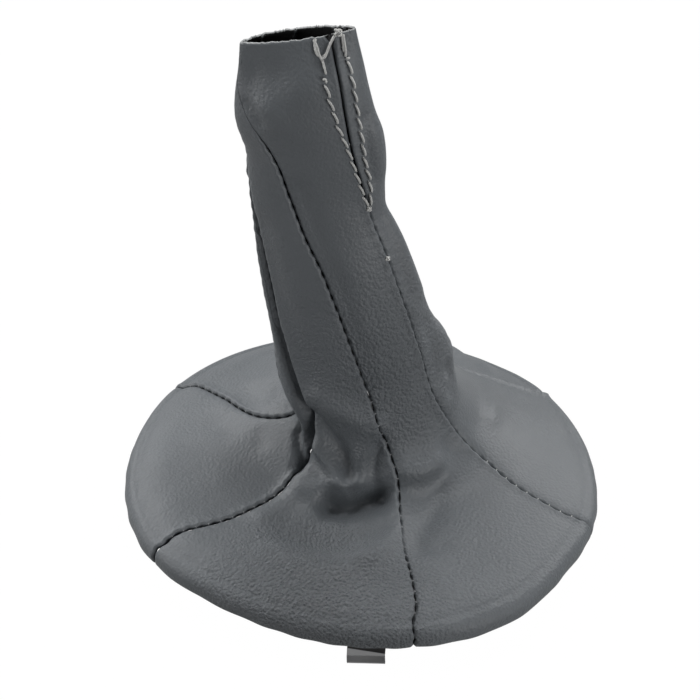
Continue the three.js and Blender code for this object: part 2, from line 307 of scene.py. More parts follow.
rim = dict(radius=75, height=8, footRound=2.4, topRound=4, hem=1.2)
ovalKeys = ("x", "y", "height", "side", "front", "back", "riseX", "riseY")
ovals = [
    (0, 0, 11.2, 64.5, 64.5, 64.5, 0.2, 1.2),  # skirt outer
    (0, 1, 15.4, 50, 48, 51, 1.5, 4.5),  # skirt mid
    (2, 3, 21, 36, 32, 37, 2, 9.5),  # skirt inner
    (3.5, 3, 31, 26, 22, 26, 2.5, 11),  # foot
    (-1.3, 2, 45, 26.7, 16.8, 19, 4, 8),  # shank root
    (-6.2, 2, 61, 24.8, 14.6, 14, 4, 4),  # shank low
    (-13.5, 1, 87, 22.2, 10.9, 12, 4, 1),  # shank mid
    (-17.6, 1, 101, 20.2, 9.2, 11, 3.5, 0.5),  # slit foot
    (-19.5, 1, 113, 20, 8.7, 10, 3.2, 0),  # shank high
    (-20.6, 0.5, 126, 19.8, 8.8, 9, 3.2, 0),  # slit mid
    (-24.2, 0, 140, 19.5, 8.8, 7, 3.2, 0),  # neck
    (-26.5, 0, 161.6, 16.2, 3.1, 4.6, 3.2, 0),  # mouth
]
rimRows = 4
topRow = rimRows + len(ovals)
# the tube's ovals are pinched towards their sides: how much, and over which ovals it begins
pinch = dict(most=0.15, ovals=(4, 2))

# bearing of each seam from the front, on the rim and on each oval
seams = dict(
    front=(13, 15, 16, 16, 13.5, 9.7, 4.8, -4.5, -13, -21.5, -34, -54, -115),
    slit=(74, 72.5, 72.5, 74, 69, 54, 54.5, 52.5, 52, 44.5, 35.5, 38, 35.5),
    backRight=(128, 130, 139, 142, 130, 112, 112, 114, 116, 118, 120, 122, 124),
    back=(180, 180, 180, 179, 176, 170, 166, 160, 156, 152, 148, 144, 140),
    backLeft=(239, 239, 246, 262, 272, 276, 265, 252, 240, 228, 215, 200, 182),
    frontLeft=(305, 305, 310, 311, 303.5, 313, 299.5, 289, 280, 273, 262, 242, 218),
)

# the rim isn't quite round: how far it stands out at each bearing, and the hem's small waves
rimSway = dict(
    bearings=(-90, -75, -55, -40, -25, -10, 10, 27, 40, 58, 75, 95, 120, 132, 148, 180, 220, 245, 258, 270),
    out=(0.9, 1.9, 2.7, 0, -0.8, 0.4, 1.4, 2.4, 2, -1, 0.6, 0.2, 1.9, 3, 0.9, 0.4, 1.3, 1, 0.2, 0.9),
    corner=6, fades=(4, 2.5),
)
hemWaves = dict(height=0.16, count=37, unevenness=3, unevenCount=4, fades=(2.5, 1))

# the steps over which slopes are measured, in rows and degrees: on the leather, and in
# rows for the folds. Below the first row there is no slope to measure.
probe = dict(row=0.02, bearing=0.4, foldRow=0.15, firstRow=0.5)


def between(values, v):
    # smooth curve through one value for each whole v
    values = np.asarray(values, float)
    last = len(values) - 1
    i = np.clip(np.floor(v).astype(int), 0, last - 1)
    t = v - i
    before, start = values[np.maximum(i - 1, 0)], values[i]
    end, after = values[i + 1], values[np.minimum(i + 2, last)]
    slopeIn, slopeOut = (end - before) / 2, (after - start) / 2
    return (
        (2 * t**3 - 3 * t**2 + 1) * start + (t**3 - 2 * t**2 + t) * slopeIn
        + (3 * t**2 - 2 * t**3) * end + (t**3 - t**2) * slopeOut
    )


def smooth(v, span):
    # nought up to the span's first row, one after its length
    start, length = span
    t = np.clip((v - start) / length, 0, 1)
    return t * t * (3 - 2 * t)


def mix(none, full, share):
    return none + (full - none) * share


def unit(a):
    return a / np.maximum(np.linalg.norm(a, axis=-1, keepdims=True), 1e-9)


def arcLength(line, axis=0):
    steps = np.linalg.norm(np.diff(line, axis=axis), axis=-1)
    return np.insert(np.cumsum(steps, axis=axis), 0, 0, axis=axis)


def rimProfile(v):
    # rows 0 to 4: the hem under the rim, the rounded foot, the side, the rounded top
    hemEdge = rim["radius"] - rim["footRound"] - rim["hem"]
    footTurn = np.clip(v - 1, 0, 1) * math.pi / 2
    topTurn = np.clip(v - 3, 0, 1) * math.pi / 2
    side = rim["height"] - rim["topRound"] - rim["footRound"]
    radius = (
        hemEdge + rim["hem"] * np.clip(v, 0, 1)
        + rim["footRound"] * np.sin(footTurn) - rim["topRound"] * (1 - np.cos(topTurn))
    )
    height = (
        rim["footRound"] * (1 - np.cos(footTurn)) + side * np.clip(v - 2, 0, 1)
        + rim["topRound"] * np.sin(topTurn)
    )
    return radius, height


# the rim's side and top as ovals, so that the curve through the ovals leaves it smoothly
rimOvals = [
    (0, 0, rim["height"] - rim["topRound"], *[rim["radius"]] * 3, 0, 0),
    (0, 0, rim["height"], *[rim["radius"] - rim["topRound"]] * 3, 0, 0),
]
lanes = dict(zip(ovalKeys, np.array(rimOvals + ovals, float).T))


def sway(v, bearing):
    around = [
        np.interp(bearing + turn, rimSway["bearings"], rimSway["out"], period=360)
        for turn in (-rimSway["corner"], 0, rimSway["corner"])
    ]
    turn = np.radians(bearing)
    wander = hemWaves["unevenness"] * np.sin(hemWaves["unevenCount"] * turn)
    hem = hemWaves["height"] * np.sin(hemWaves["count"] * turn + wander)
    return (
        sum(around) / len(around) * (1 - smooth(v, rimSway["fades"]))
        + hem * (1 - smooth(v, hemWaves["fades"]))
    )


def basePoint(v, bearing):
    v, bearing = np.broadcast_arrays(np.asarray(v, float), np.asarray(bearing, float))
    turn = np.radians(bearing)
    toSide, toBack = np.sin(turn), -np.cos(turn)
    radius, height = rimProfile(np.minimum(v, rimRows))
    onRim = np.stack([radius * toSide, radius * toBack, height], -1)
    k = np.maximum(v, rimRows) - rimRows + 1
    o = {key: between(values, k) for key, values in lanes.items()}
    pointed = pinch["most"] * smooth(k, pinch["ovals"])
    half = mix(o["front"], o["back"], (1 + toBack) / 2)
    onTube = np.stack([
        o["x"] + o["side"] * toSide,
        o["y"] + half * toBack * np.abs(toBack) ** pointed,
        o["height"] + o["riseX"] * toSide + o["riseY"] * toBack,
    ], -1)
    outwards = np.stack([toSide, toBack, 0 * turn], -1) * sway(v, bearing)[..., None]
    return np.where((v <= rimRows)[..., None], onRim, onTube) + outwards


def alongAt(place, v, bearing):
    return place(v, bearing + probe["bearing"]) - place(v, bearing - probe["bearing"])


def normalAt(place, v, bearing, step=probe["row"]):
    up = place(v + step, bearing) - place(v - step, bearing)
    return unit(np.cross(alongAt(place, v, bearing), up))


def seamBearing(name, v):
    rimAngle, *angles = seams[name]
    return between([rimAngle, rimAngle, *angles], np.maximum(np.asarray(v, float) - rimRows + 1, 0))


def seamLine(name, start, end, steps, shift=(0, 0, 0)):
    v = np.linspace(start, end, steps)
    return basePoint(v, seamBearing(name, v)) + np.array(shift)


# push is outwards, pull is a move in x, y and z, width is the fold's half width
folds = [
    dict(of="pleat", push=-1.6, width=2, line=seamLine("frontLeft", 8.2, 10.2, 16)),
    dict(of="pleat", push=-1.5, width=1.8, line=seamLine("frontLeft", 8.2, 11.6, 24)),
    dict(of="pleat", push=-1.2, width=1.7, line=seamLine("frontLeft", 8.2, 13.2, 34)),
    dict(of="pleat foot", push=-2.6, width=2, line=seamLine("frontLeft", 7.5, 8.4, 8)),
    dict(of="hollow before the tube", push=-6.4, pull=(0, 1.6, 0), width=3.6, line=[
        (-10.1, -24.6, 12.3), (-5.1, -25.3, 12.3), (0.7, -23.9, 13.6), (5.6, -23.2, 14.4)]),
    dict(of="hollow's near slope", push=-1.9, width=7, line=[
        (-12.8, -34, 10.5), (-5, -35.3, 10.5), (2.7, -31.4, 11)]),
    dict(of="crease to the hollow", push=-3.1, width=3.3, line=[
        (-17, -11.5, 35.2), (-13.5, -13, 31.8), (-10.3, -14.3, 28.2), (-7, -15.8, 24),
        (-5.2, -17.2, 20.3)]),
    dict(of="overhang", push=2, width=4.6, line=[(-15.6, -11.8, 43), (-9, -13.5, 40.5), (-3, -14.4, 38)]),
    dict(of="lobe", push=2.9, width=3, line=[
        (-14.8, -12.4, 25), (-11.4, -14.8, 22), (-8.6, -17.6, 18.8), (-7.6, -19.6, 16.8)]),
    dict(of="lobe's left", push=1.2, width=4, line=[
        (-19.9, -16.2, 15.5), (-16.2, -19, 14.6), (-13, -20.2, 14.6)]),
    dict(of="ridge beside the seam", push=1.9, width=2.8, line=[
        (3, -14.6, 37.4), (1.2, -15.7, 31.9), (-1, -16.6, 26.1), (-1.8, -17.8, 21.3),
        (-1.9, -19.6, 17.8)]),
    dict(of="shade beside the ridge", push=-1.4, width=2.6, line=[
        (3, -16, 29.9), (2.5, -17.6, 23.7), (3, -20, 18.4)]),
    dict(of="band by the seam", push=2, width=3.4, line=[
        (9.6, -24, 14.5), (10.1, -30, 12), (9.4, -37.5, 11.2), (6.5, -44.1, 11.2), (1.7, -49.7, 10.8)]),
    dict(of="ridge before the hollow", push=2.4, width=6, line=[
        (-25, -47, 10.4), (-21.6, -49, 10.4), (-18, -50.5, 10.5), (-13.2, -51.9, 10.5),
        (-8, -52.5, 10.5), (-2.8, -51.7, 10.6), (1.7, -50, 10.8)]),
    dict(of="dip inside the ridge", push=-1.2, width=6.5, line=[
        (-20, -37.5, 10.8), (-12, -41, 10.7), (-4, -41.5, 10.8)]),
    dict(of="dome by the rim", push=0.9, width=9, line=[(-12, -60, 10), (-2, -60, 10.2)]),
    dict(of="soft dip", push=-1.2, width=7, line=[
        (-23.4, -36.1, 10.8), (-17.4, -38.1, 10.7), (-10, -39.5, 10.6)]),
    dict(of="left lobe", push=1.1, width=3.2, line=[
        (-30.9, -30.5, 11.3), (-25.5, -25.2, 11.6), (-20.7, -19.8, 13.4)]),
    dict(of="left pocket", push=-2.4, width=1.3, line=[
        (-21.7, -3.2, 26.5), (-22.2, -3.7, 23.6), (-21.5, -7.7, 20.9), (-20.1, -11.8, 18.6)]),
    dict(of="pocket's strip", push=1, width=1.5, line=[(-19.6, -7, 27), (-19.4, -8, 24), (-19.4, -10.5, 20)]),
    dict(of="back left dent", push=-0.9, width=5, line=[(-38.5, 22.2, 18.8), (-34.5, 17.8, 20.9)]),
    dict(of="left dent", push=-0.6, width=5, line=[(-46.5, 9.1, 15.5), (-43.6, 6, 16.1)]),
    dict(of="small left dent", push=-0.6, width=3, line=[(-33.1, 1.3, 18.9), (-32.7, -2.4, 17.9)]),
    dict(of="bulge beside the seam", push=3.4, width=5, line=[
        (13, -17.8, 22.2), (17.5, -16.6, 21.8), (22, -14.2, 22.4)]),
    dict(of="long valley on the right", push=-1.8, width=4.5, line=[
        (26.5, -10.2, 24.3), (23, -19.1, 17), (19.4, -29.8, 12.5), (16.8, -40.6, 11.8)]),
    dict(of="right dip", push=-0.8, width=3.5, line=[
        (15.6, -36, 11.8), (19.6, -41.9, 12), (24.1, -40.6, 12.3)]),
    dict(of="right swell", push=0.8, width=7, line=[
        (19.6, -53.1, 11), (28.8, -56.3, 10.5), (36.3, -58, 9.1)]),
    dict(of="dimple", push=-1.3, width=2.4, line=[
        (24.2, -0.3, 49.8), (25.8, 0.2, 45.5), (25.4, -2, 42.5)]),
    dict(of="light band", push=0.8, width=3.4, line=[
        (41, 34.3, 17.9), (41.1, 22.4, 21.1), (39.8, 10.3, 22.9)]),
    dict(of="beside the band", push=-0.4, width=4.5, line=[
        (35.4, 20.2, 25.7), (36, 11.3, 26.2), (35.2, 3.2, 25.5)]),
    dict(of="hip", push=1.6, width=5, line=[(20, 4.5, 59), (22.5, 5.5, 54)]),
    dict(of="right valley", push=-0.9, width=3, line=[
        (16.2, -1.8, 66.4), (18.4, -2.4, 59.6), (20, -3.8, 53), (21.6, -4.4, 48)]),
    dict(of="back crease", push=0.6, width=3, line=[
        (37.6, 61, 8.5), (38.8, 58.5, 9.6), (40.7, 47.9, 13.5)]),
    dict(of="back swell", push=3.6, width=8, line=[(15, 57, 12.6), (20, 56, 12.5), (25, 55.5, 12.2)]),
    dict(of="swell by the mouth", push=1.5, width=7, line=[(-30, -5.5, 147), (-16, -4.8, 150)]),
    dict(of="right flap", push=0.9, width=5, line=[
        (-2.4, -1.5, 132), (-1, -1.9, 126), (-0.2, -1.9, 120.5)]),
    dict(of="under the flap", push=-0.7, width=3.5, line=[
        (1.6, -1.6, 107.4), (1.4, 1, 106.4), (1, 4, 105.6)]),
    dict(of="neck dent", push=-1.7, width=6, line=[(-37.5, -4, 150), (-33, -5.6, 149.5)]),
    dict(of="neck crease", push=-0.8, width=1.6, line=[
        (-40.1, -4.3, 141.2), (-38, -5.7, 139.6), (-35.8, -6.7, 137)]),
    dict(of="neck swell", push=0.9, width=4, line=[(-33.8, -7, 140), (-31.8, -7.7, 138)]),
    dict(of="beside the slit's foot", push=-0.7, width=2.6,
         line=seamLine("slit", 10.6, 12.1, 12, (3.2, 1.6, 0))),
    dict(of="right flank", push=0.9, width=3.4, line=seamLine("slit", 10.6, 12.1, 12, (6.5, 5, 0))),
    dict(of="flap's valley", push=-0.8, width=2.2, line=[
        (-6.5, -4.2, 138.2), (-4.9, -4.5, 128.5), (-3.2, -3.6, 118.2)]),
    dict(of="shade right of the seam", push=-0.9, width=3.2, line=[
        (-23.8, -7.4, 115.7), (-17.9, -8.1, 99.3), (-10.7, -9.9, 82.4), (-4.3, -11.3, 64.3),
        (0.5, -12.3, 50.3)]),
    dict(of="left face's dip", push=-1, width=4, line=[
        (-34.6, -3.8, 98.9), (-29.3, -5.9, 79), (-21.8, -8.6, 59.6), (-15.7, -11, 42.4)]),
]
foldRows = (rimRows - 0.6, 0.6)  # over these rows the folds begin

# faint unevenness all over the leather, as waves in all directions. One generator makes
# every random number, so each run is the same.
ripples = dict(count=26, height=0.018, longest=30, shortest=8, seed=4)
draw = np.random.default_rng(ripples["seed"])
rippleWaves = unit(draw.normal(size=(ripples["count"], 3)))
rippleLengths = draw.uniform(ripples["shortest"], ripples["longest"], ripples["count"])
rippleWaves *= 2 * math.pi / rippleLengths[:, None]
ripplePhases = draw.uniform(0, 2 * math.pi, ripples["count"])


def distanceTo(line, points):
    best = np.full(points.shape[:-1], np.inf)
    line = np.asarray(line, float)
    for a, b in zip(line[:-1], line[1:]):
        leg = b - a
        t = np.clip(((points - a) @ leg) / (leg @ leg), 0, 1)
        best = np.minimum(best, np.linalg.norm(points - a - t[..., None] * leg, axis=-1))
    return best


def skinPoint(v, bearing):
    v, bearing = np.broadcast_arrays(np.asarray(v, float), np.asarray(bearing, float))
    point = basePoint(v, bearing)
    push = np.sin(point @ rippleWaves.T + ripplePhases).sum(-1) * ripples["height"]
    pull = np.zeros(point.shape)
    for fold in folds:
        reach = np.exp(-((distanceTo(fold["line"], point) / fold["width"]) ** 2))
        push = push + fold["push"] * reach
        pull = pull + reach[..., None] * np.array(fold.get("pull", (0, 0, 0)))
    out = normalAt(basePoint, v, bearing, probe["foldRow"])
    return point + (out * push[..., None] + pull) * smooth(v, foldRows)[..., None]


# Panels

panel = dict(
    thick=0.9, inside=(-0.2, 0.3),  # the inner face follows the outer no further than this
    fray=0.12, frayRun=4,  # height of the raw edge's waves, and over how many points they run
)
panelMesh = dict(
    rowStep=0.75, middle=92,  # the way between rows, and the number of columns in the middle
    near=(0.1, 0.28, 0.5, 0.8, 1.2, 1.7, 2.3, 3),  # the other columns' way from each seam
    fineRows=2400, fineTurns=240, measuredAt=40,  # the finer steps that these are measured on
    softening=2,  # how often the folds are evened out
)

# A seam's two edges turn in beside a groove, which closes at each stitch. Spans are rows,
# as a first row and a length.
seamForm = dict(
    pitch=4, edge=0.9, closed=0.03,  # a stitch, a turned edge's radius, the closed half groove
    proud=0.45, low=-0.3, liftRows=(1, 4),  # one edge lies over the other
    reach=1.8, openReach=1.6, puckerReach=2.4,  # how far in these are felt
    skirtRows=(6.5, 1.5),  # where the wider groove of the skirt ends
    onTube=1, tubeRows=(6, 1.2),  # how much of the lift and pucker the tube has
    atMouth=0.1, mouthRows=(14.8, 0.9),  # how much of the groove is left at the mouth
    # the turned-in allowance, which is shallow and thin near the hem and up the tube
    allowance=2.4, shallow=0.5, thin=0.35, deepRows=(4.2, 1.3), shallowRows=(10.5, 2),
    # where its corners lie: how far it tucks in under the groove, and below its edge
    tuck=0.3, overlap=0.06, lipDrop=0.75, clear=0.2, backWide=0.7, backLow=0.3,
)
# what each seam has of its own: half the groove between stitches, how much wider that is
# on the skirt, how far a stitch pulls in, and what differs from the form above
ownForms = dict(
    front=dict(open=0.34, skirt=0.12, pucker=0.26, atMouth=0, mouthRows=(14.2, 0.9)),
    slit=dict(open=0.3, skirt=0.26, pucker=0.24, proud=0.5, low=-0.4),
    backRight=dict(open=0.5, skirt=0.1, pucker=0.14, proud=0.9, low=-0.5, onTube=0.25),
    back=dict(open=0.3, skirt=0, pucker=0.2, proud=0.3, low=-0.2),
    backLeft=dict(open=0.3, skirt=0.1, pucker=0.2),
    frontLeft=dict(open=0.34, skirt=0.16, pucker=0.24, proud=0.5, allowance=0.9),
)
# the slit: where it opens, half its width, and how it gapes at the top
slitForm = dict(rows=(12.5, 0.6), half=0.24, proud=0.25, gape=1.5, gapeRows=(15.72, topRow - 15.72))


def rowMarks():
    fine = np.linspace(0, topRow, panelMesh["fineRows"])
    length = arcLength(basePoint(fine, panelMesh["measuredAt"]))
    count = int(length[-1] / panelMesh["rowStep"])
    return np.interp(np.linspace(0, length[-1], count), length, fine)


def columns(v, start, end):
    # bearings across the panel, close together near both seams
    bearing = mix(start[:, None], end[:, None], np.linspace(0, 1, panelMesh["fineTurns"]))
    length = arcLength(skinPoint(v[:, None], bearing), axis=1)
    near = np.array(panelMesh["near"])
    marks = []
    for row, total in zip(length, length[:, -1]):
        third = total / 3
        close = near * min(1, third / near[-1])
        middle = np.linspace(close[-1], total - close[-1], panelMesh["middle"] + 2)[1:-1]
        marks.append(np.concatenate([close, middle, total - close[::-1]]))
    return np.stack([np.interp(mark, row, turn) for mark, row, turn in zip(marks, length, bearing)])


def evened(grid):
    # each point moves halfway towards its neighbours, apart from the border
    for _ in range(panelMesh["softening"]):
        around = grid[:-2, 1:-1] + grid[2:, 1:-1] + grid[1:-1, :-2] + grid[1:-1, 2:]
        grid = grid.copy()
        grid[1:-1, 1:-1] = mix(grid[1:-1, 1:-1], around / 4, 0.5)
    return grid


def outwardAt(v, bearing):
    return normalAt(skinPoint, np.maximum(v, probe["firstRow"]), bearing)


def seamEdge(name, v, side):
    # where the seam runs, its normal and the way into the panel
    bearing = seamBearing(name, v)
    at = skinPoint(v, bearing)
    return bearing, at, outwardAt(v, bearing), unit(alongAt(skinPoint, v, bearing)) * side


def sewnSide(name, level, edge, v, surface):
    # what one seam does to its panel: how far each point sinks and moves in, and the
    # points of the turned-in edge and of its back
    form = {**seamForm, **ownForms[name]}
    _, at, normal, along = edge
    radius, thick = form["edge"], panel["thick"]
    slit = smooth(v, slitForm["rows"]) if name == "slit" else 0 * v
    left = mix(mix(1, form["atMouth"], smooth(v, form["mouthRows"])), 1, slit)
    sewn = left * (1 - slit)
    tube = mix(1, form["onTube"], smooth(v, form["tubeRows"]))
    midway = (1 - np.cos(arcLength(at) * 2 * math.pi / form["pitch"])) / 2  # between stitches
    lift = form[level] * tube * smooth(v, form["liftRows"]) * sewn + slitForm["proud"] * slit
    pucker = form["pucker"] * tube * (1 - midway) * sewn
    gap = form["open"] + form["skirt"] * (1 - smooth(v, form["skirtRows"]))
    gape = slitForm["gape"] * smooth(v, slitForm["gapeRows"]) ** 2
    half = mix(form["closed"], gap, midway) * sewn + (slitForm["half"] + gape) * slit

    away = np.linalg.norm(surface - at[:, None], axis=-1)
    turned = np.clip(radius - away, 0, None) * left[:, None]
    drop = (
        radius - np.sqrt(np.clip(radius**2 - turned**2, 0, None))
        - lift[:, None] * np.exp(-(away / form["reach"]) ** 2)
        + pucker[:, None] * np.exp(-away / form["puckerReach"])
    )
    aside = (along * half[:, None])[:, None] * np.exp(-(away / form["openReach"]) ** 2)[..., None]

    inwards = smooth(v, form["deepRows"]) * (1 - smooth(v, form["shallowRows"]))
    deep = mix(form["shallow"], form["allowance"], inwards)
    wide = mix(form["thin"], thick, np.maximum(inwards, slit))
    low = np.maximum(thick + form["clear"], deep - form["clear"])
    raised = at + normal * lift[:, None]
    top = raised + along * half[:, None]
    tuck = raised + along * (half * mix(form["tuck"], 1, slit) - form["overlap"] * sewn)[:, None]
    lip = [
        tuck - normal * (radius + deep)[:, None],
        top - normal * radius * form["lipDrop"],
    ]
    back = [
        tuck + along * wide[:, None] - normal * low[:, None],
        tuck + along * np.maximum(wide, form["backWide"])[:, None] - normal * (thick + form["backLow"]),
    ]
    return drop, aside, np.stack(lip, 1), np.stack(back, 1)


def panelGrid(startSeam, endSeam):
    # the points of a panel's outer and inner faces, row by row
    v = rowMarks()
    startEdge, endEdge = seamEdge(startSeam, v, 1), seamEdge(endSeam, v, -1)
    start, end = startEdge[0], endEdge[0]
    bearing = columns(v, start, np.where(end < start, end + 360, end))
    rows = np.broadcast_to(v[:, None], bearing.shape)
    base = basePoint(rows, bearing)
    surface = evened(skinPoint(rows, bearing) - base) + base
    out = outwardAt(rows, bearing)

    startDrop, startAside, startLip, startBack = sewnSide(startSeam, "low", startEdge, v, surface)
    endDrop, endAside, endLip, endBack = sewnSide(endSeam, "proud", endEdge, v, surface)
    drop = startDrop + endDrop
    outer = surface + startAside + endAside - out * drop[..., None]
    under = surface - out * (panel["thick"] + np.clip(drop, *panel["inside"]))[..., None]
    outer = np.concatenate([startLip, outer, endLip[:, ::-1]], 1)
    under = np.concatenate([startBack, under, endBack[:, ::-1]], 1)

    run = panel["frayRun"]
    fray = np.convolve(draw.normal(size=outer.shape[1]), np.ones(run) / math.sqrt(run), "same")
    outer[-1, :, 2] += fray * panel["fray"]
    under[-1, :, 2] += fray * panel["fray"]
    return outer, under


def addMesh(name, points, faces, materials, kinds=None):
    # points are in millimetres above the seat
    points = np.asarray(points, float) * mm
    points[:, 2] += seat
    mesh = bpy.data.meshes.new(name)
    mesh.from_pydata(points.tolist(), [], [tuple(face) for face in faces])
    for material in materials:
        mesh.materials.append(material)
    if kinds is not None:
        mesh.polygons.foreach_set("material_index", kinds.astype(np.int32))
    mesh.polygons.foreach_set("use_smooth", np.ones(len(mesh.polygons), bool))
    mesh.update()
    made = bpy.data.objects.new(name, mesh)
    bpy.context.scene.collection.objects.link(made)
    return made


def quads(a, b, c, d):
    return np.stack([a.ravel(), b.ravel(), c.ravel(), d.ravel()], -1)


def sheetMesh(name, outer, under, materials):
    # a closed sheet: outer face, inner face, both seam edges, hem and mouth
    rows, cols = outer.shape[:2]
    top = np.arange(rows * cols).reshape(rows, cols)
    low = top + rows * cols
    faces = [
        quads(top[:-1, :-1], top[:-1, 1:], top[1:, 1:], top[1:, :-1]),
        quads(low[:-1, :-1], low[1:, :-1], low[1:, 1:], low[:-1, 1:]),
        quads(top[:-1, 0], top[1:, 0], low[1:, 0], low[:-1, 0]),
        quads(top[:-1, -1], low[:-1, -1], low[1:, -1], top[1:, -1]),
        quads(top[0, :-1], low[0, :-1], low[0, 1:], top[0, 1:]),
        quads(top[-1, :-1], top[-1, 1:], low[-1, 1:], low[-1, :-1]),
    ]
    leather, inner, raw = 0, 1, 2
    kindOfFace = (leather, inner, leather, leather, inner, raw)
    kinds = np.concatenate([np.full(len(f), kind) for f, kind in zip(faces, kindOfFace)])
    points = np.concatenate([outer.reshape(-1, 3), under.reshape(-1, 3)])
    return addMesh(name, points, np.concatenate(faces), materials, kinds)


# each panel: the seams on its two sides and its flat cut, as width, length and area
panels = dict(
    panel_front_right=dict(seams=("front", "slit"), flat=(86, 223), area=7810),
    panel_right=dict(seams=("slit", "backRight"), flat=(77, 211), area=6560),
    panel_back_right=dict(seams=("backRight", "back"), flat=(74, 211), area=5460),
    panel_back_left=dict(seams=("back", "backLeft"), flat=(83, 210), area=8630),
    panel_left=dict(seams=("backLeft", "frontLeft"), flat=(92, 223), area=6200),
    panel_front_left=dict(seams=("frontLeft", "front"), flat=(94, 231), area=8160),
)


def addPanels():
    finishes = [leatherFinish(), backingFinish(), rawEdgeFinish()]
    for node, cut in panels.items():
        outer, under = panelGrid(*cut["seams"])
        made = sheetMesh(node.replace("panel", "leather"), outer, under, finishes)
        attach(made, "root")
        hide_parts(node)
        print(made.name, len(made.data.polygons), "faces")


# Threads

tubeForm = dict(sides=8, taper=0.35, steep=0.9)


def addTubes(name, paths, radius, material):
    # one closed round thread along each path, thinner at its ends
    sides = tubeForm["sides"]
    points, faces = [], []
    for path in paths:
        path = np.asarray(path, float)
        ahead = unit(np.gradient(path, axis=0))
        level = np.abs(ahead[:, 2:]) < tubeForm["steep"]
        across = unit(np.cross(ahead, np.where(level, [[0.0, 0.0, 1.0]], [[1.0, 0.0, 0.0]])))
        above = np.cross(across, ahead)
        turn = np.arange(sides) * 2 * math.pi / sides
        first = len(points)
        taper = np.ones(len(path))
        taper[0] = taper[-1] = tubeForm["taper"]
        for i, centre in enumerate(path):
            ring = across[i] * np.cos(turn)[:, None] + above[i] * np.sin(turn)[:, None]
            points.extend(centre + ring * radius * taper[i])
        for i in range(len(path) - 1):
            for s in range(sides):
                a, b = first + i * sides + s, first + i * sides + (s + 1) % sides
                faces.append((a, b, b + sides, a + sides))
        last = first + (len(path) - 1) * sides
        faces.append(tuple(range(first + sides - 1, first - 1, -1)))
        faces.append(tuple(range(last, last + sides)))
    made = addMesh(name, points, faces, [material])
    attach(made, "root")
    return made


# the two rows of stitches beside the slit: how far from it they run at each row of leather
topStitch = dict(
    start=12.52, pitch=4.4, length=4.1, radius=0.36, slant=0.34, bulge=0.25,
    lift=0.3, crown=2, sunk=0.9, squareness=3,  # how a stitch stands up and dives at its ends
    fineRows=400, points=11,
    left=dict(
        side=-1, end=15.46, rows=(12.52, 13, 13.85, 14.2, 14.5, 14.75, 15, 15.2, 15.6, 16),
        out=(0.4, 0.7, 0.85, 1.3, 2, 2.9, 3.2, 4, 4.5, 4.8),
    ),
    right=dict(
        side=1, end=15.62, rows=(12.52, 12.9, 13.3, 13.65, 14.25, 15.2, 16),
        out=(0.4, 1.8, 2.65, 2.75, 3.5, 3.6, 3.4),
    ),
)
# the threads that cross each seam: between which rows they show, how deep they lie
crossings = dict(
    front=dict(ply="grey", rows=(4.2, 9.5), sink=0.25),
    slit=dict(ply="pale", rows=(4, 6.9), sink=0.1),
    backLeft=dict(ply="grey", rows=(4, 7), sink=0.2),
    frontLeft=dict(ply="grey", rows=(4, 7.2), sink=0.25),
)
crossing = dict(half=0.55, radius=0.15, dive=0.3)
# each loose thread runs through points given as a row, a way right of the slit and a
# height over the leather
looseThreads = dict(
    leftEnd=[
        (15.99, -4.3, 0.3), (15.86, -4.9, 0.5), (15.74, -4.7, 0.5), (15.68, -3.7, 0.5), (15.5, -3.4, 0.1),
    ],
    leftTail=[(15.98, -4.9, 0.3), (15.84, -4.3, 0.6), (15.72, -4.1, 0.6), (15.64, -3.4, 0.4)],
    rightEnd=[(15.98, 3.5, 0.3), (15.86, 3.4, 0.6), (15.72, 3.3, 0.6), (15.64, 3, 0.2)],
    rightTail=[(15.97, 3, 0.3), (15.84, 3, 0.5), (15.7, 2.8, 0.3)],
    bridge=[(15.68, -3.6, 0.7), (15.7, -2.6, 0.9), (15.8, -1.2, 1), (15.95, 0.5, 1), (16.06, 1.7, 0.8)],
    bridgeTail=[(15.7, -3.3, 0.4), (15.73, -2.2, 0.7), (15.86, -0.5, 0.8), (16.02, 1.4, 0.8)],
)
looseRadius = 0.36
# a knot is a small tangle: its place as for a loose thread, and its size
knots = dict(
    mouth=dict(at=(16.08, 2.1, 0.9), size=1.1),
    slitFoot=dict(at=(12.46, -0.2, 0.5), size=0.6),
    seam=dict(at=(11.15, -0.4, 0.4), size=0.55),
)
knotForm = dict(radius=0.3, turns=2, steps=48, inner=0.62, outer=0.38, weave=1.5, flat=0.7)


def slitPoint(v, right, height):
    _, at, out, along = seamEdge("slit", np.array([v], float), 1)
    return (at + along * right + out * height)[0]


def stitchRow(row):
    t, side = topStitch, row["side"]
    v = np.linspace(t["start"], row["end"], t["fineRows"])
    _, at, out, along = seamEdge("slit", v, side)
    line = at + along * np.interp(v, row["rows"], row["out"])[:, None]
    length = arcLength(line)
    bend = np.linspace(-1, 1, t["points"])  # from one end of a stitch to the other
    stand = t["crown"] * np.sqrt(1 - np.abs(bend) ** t["squareness"]) - t["sunk"]
    rise = t["lift"] * stand + slitForm["proud"]
    sweep = (t["bulge"] * (1 - bend**2) - bend * t["slant"]) * side
    paths = []
    for n in range(int(length[-1] / t["pitch"]) + 1):
        s = np.minimum(n * t["pitch"] + (bend + 1) / 2 * t["length"], length[-1])
        middle, normal, aside = (
            np.stack([np.interp(s, length, axis) for axis in each.T], -1) for each in (line, out, along)
        )
        paths.append(middle + normal * rise[:, None] + aside * sweep[:, None])
    return paths


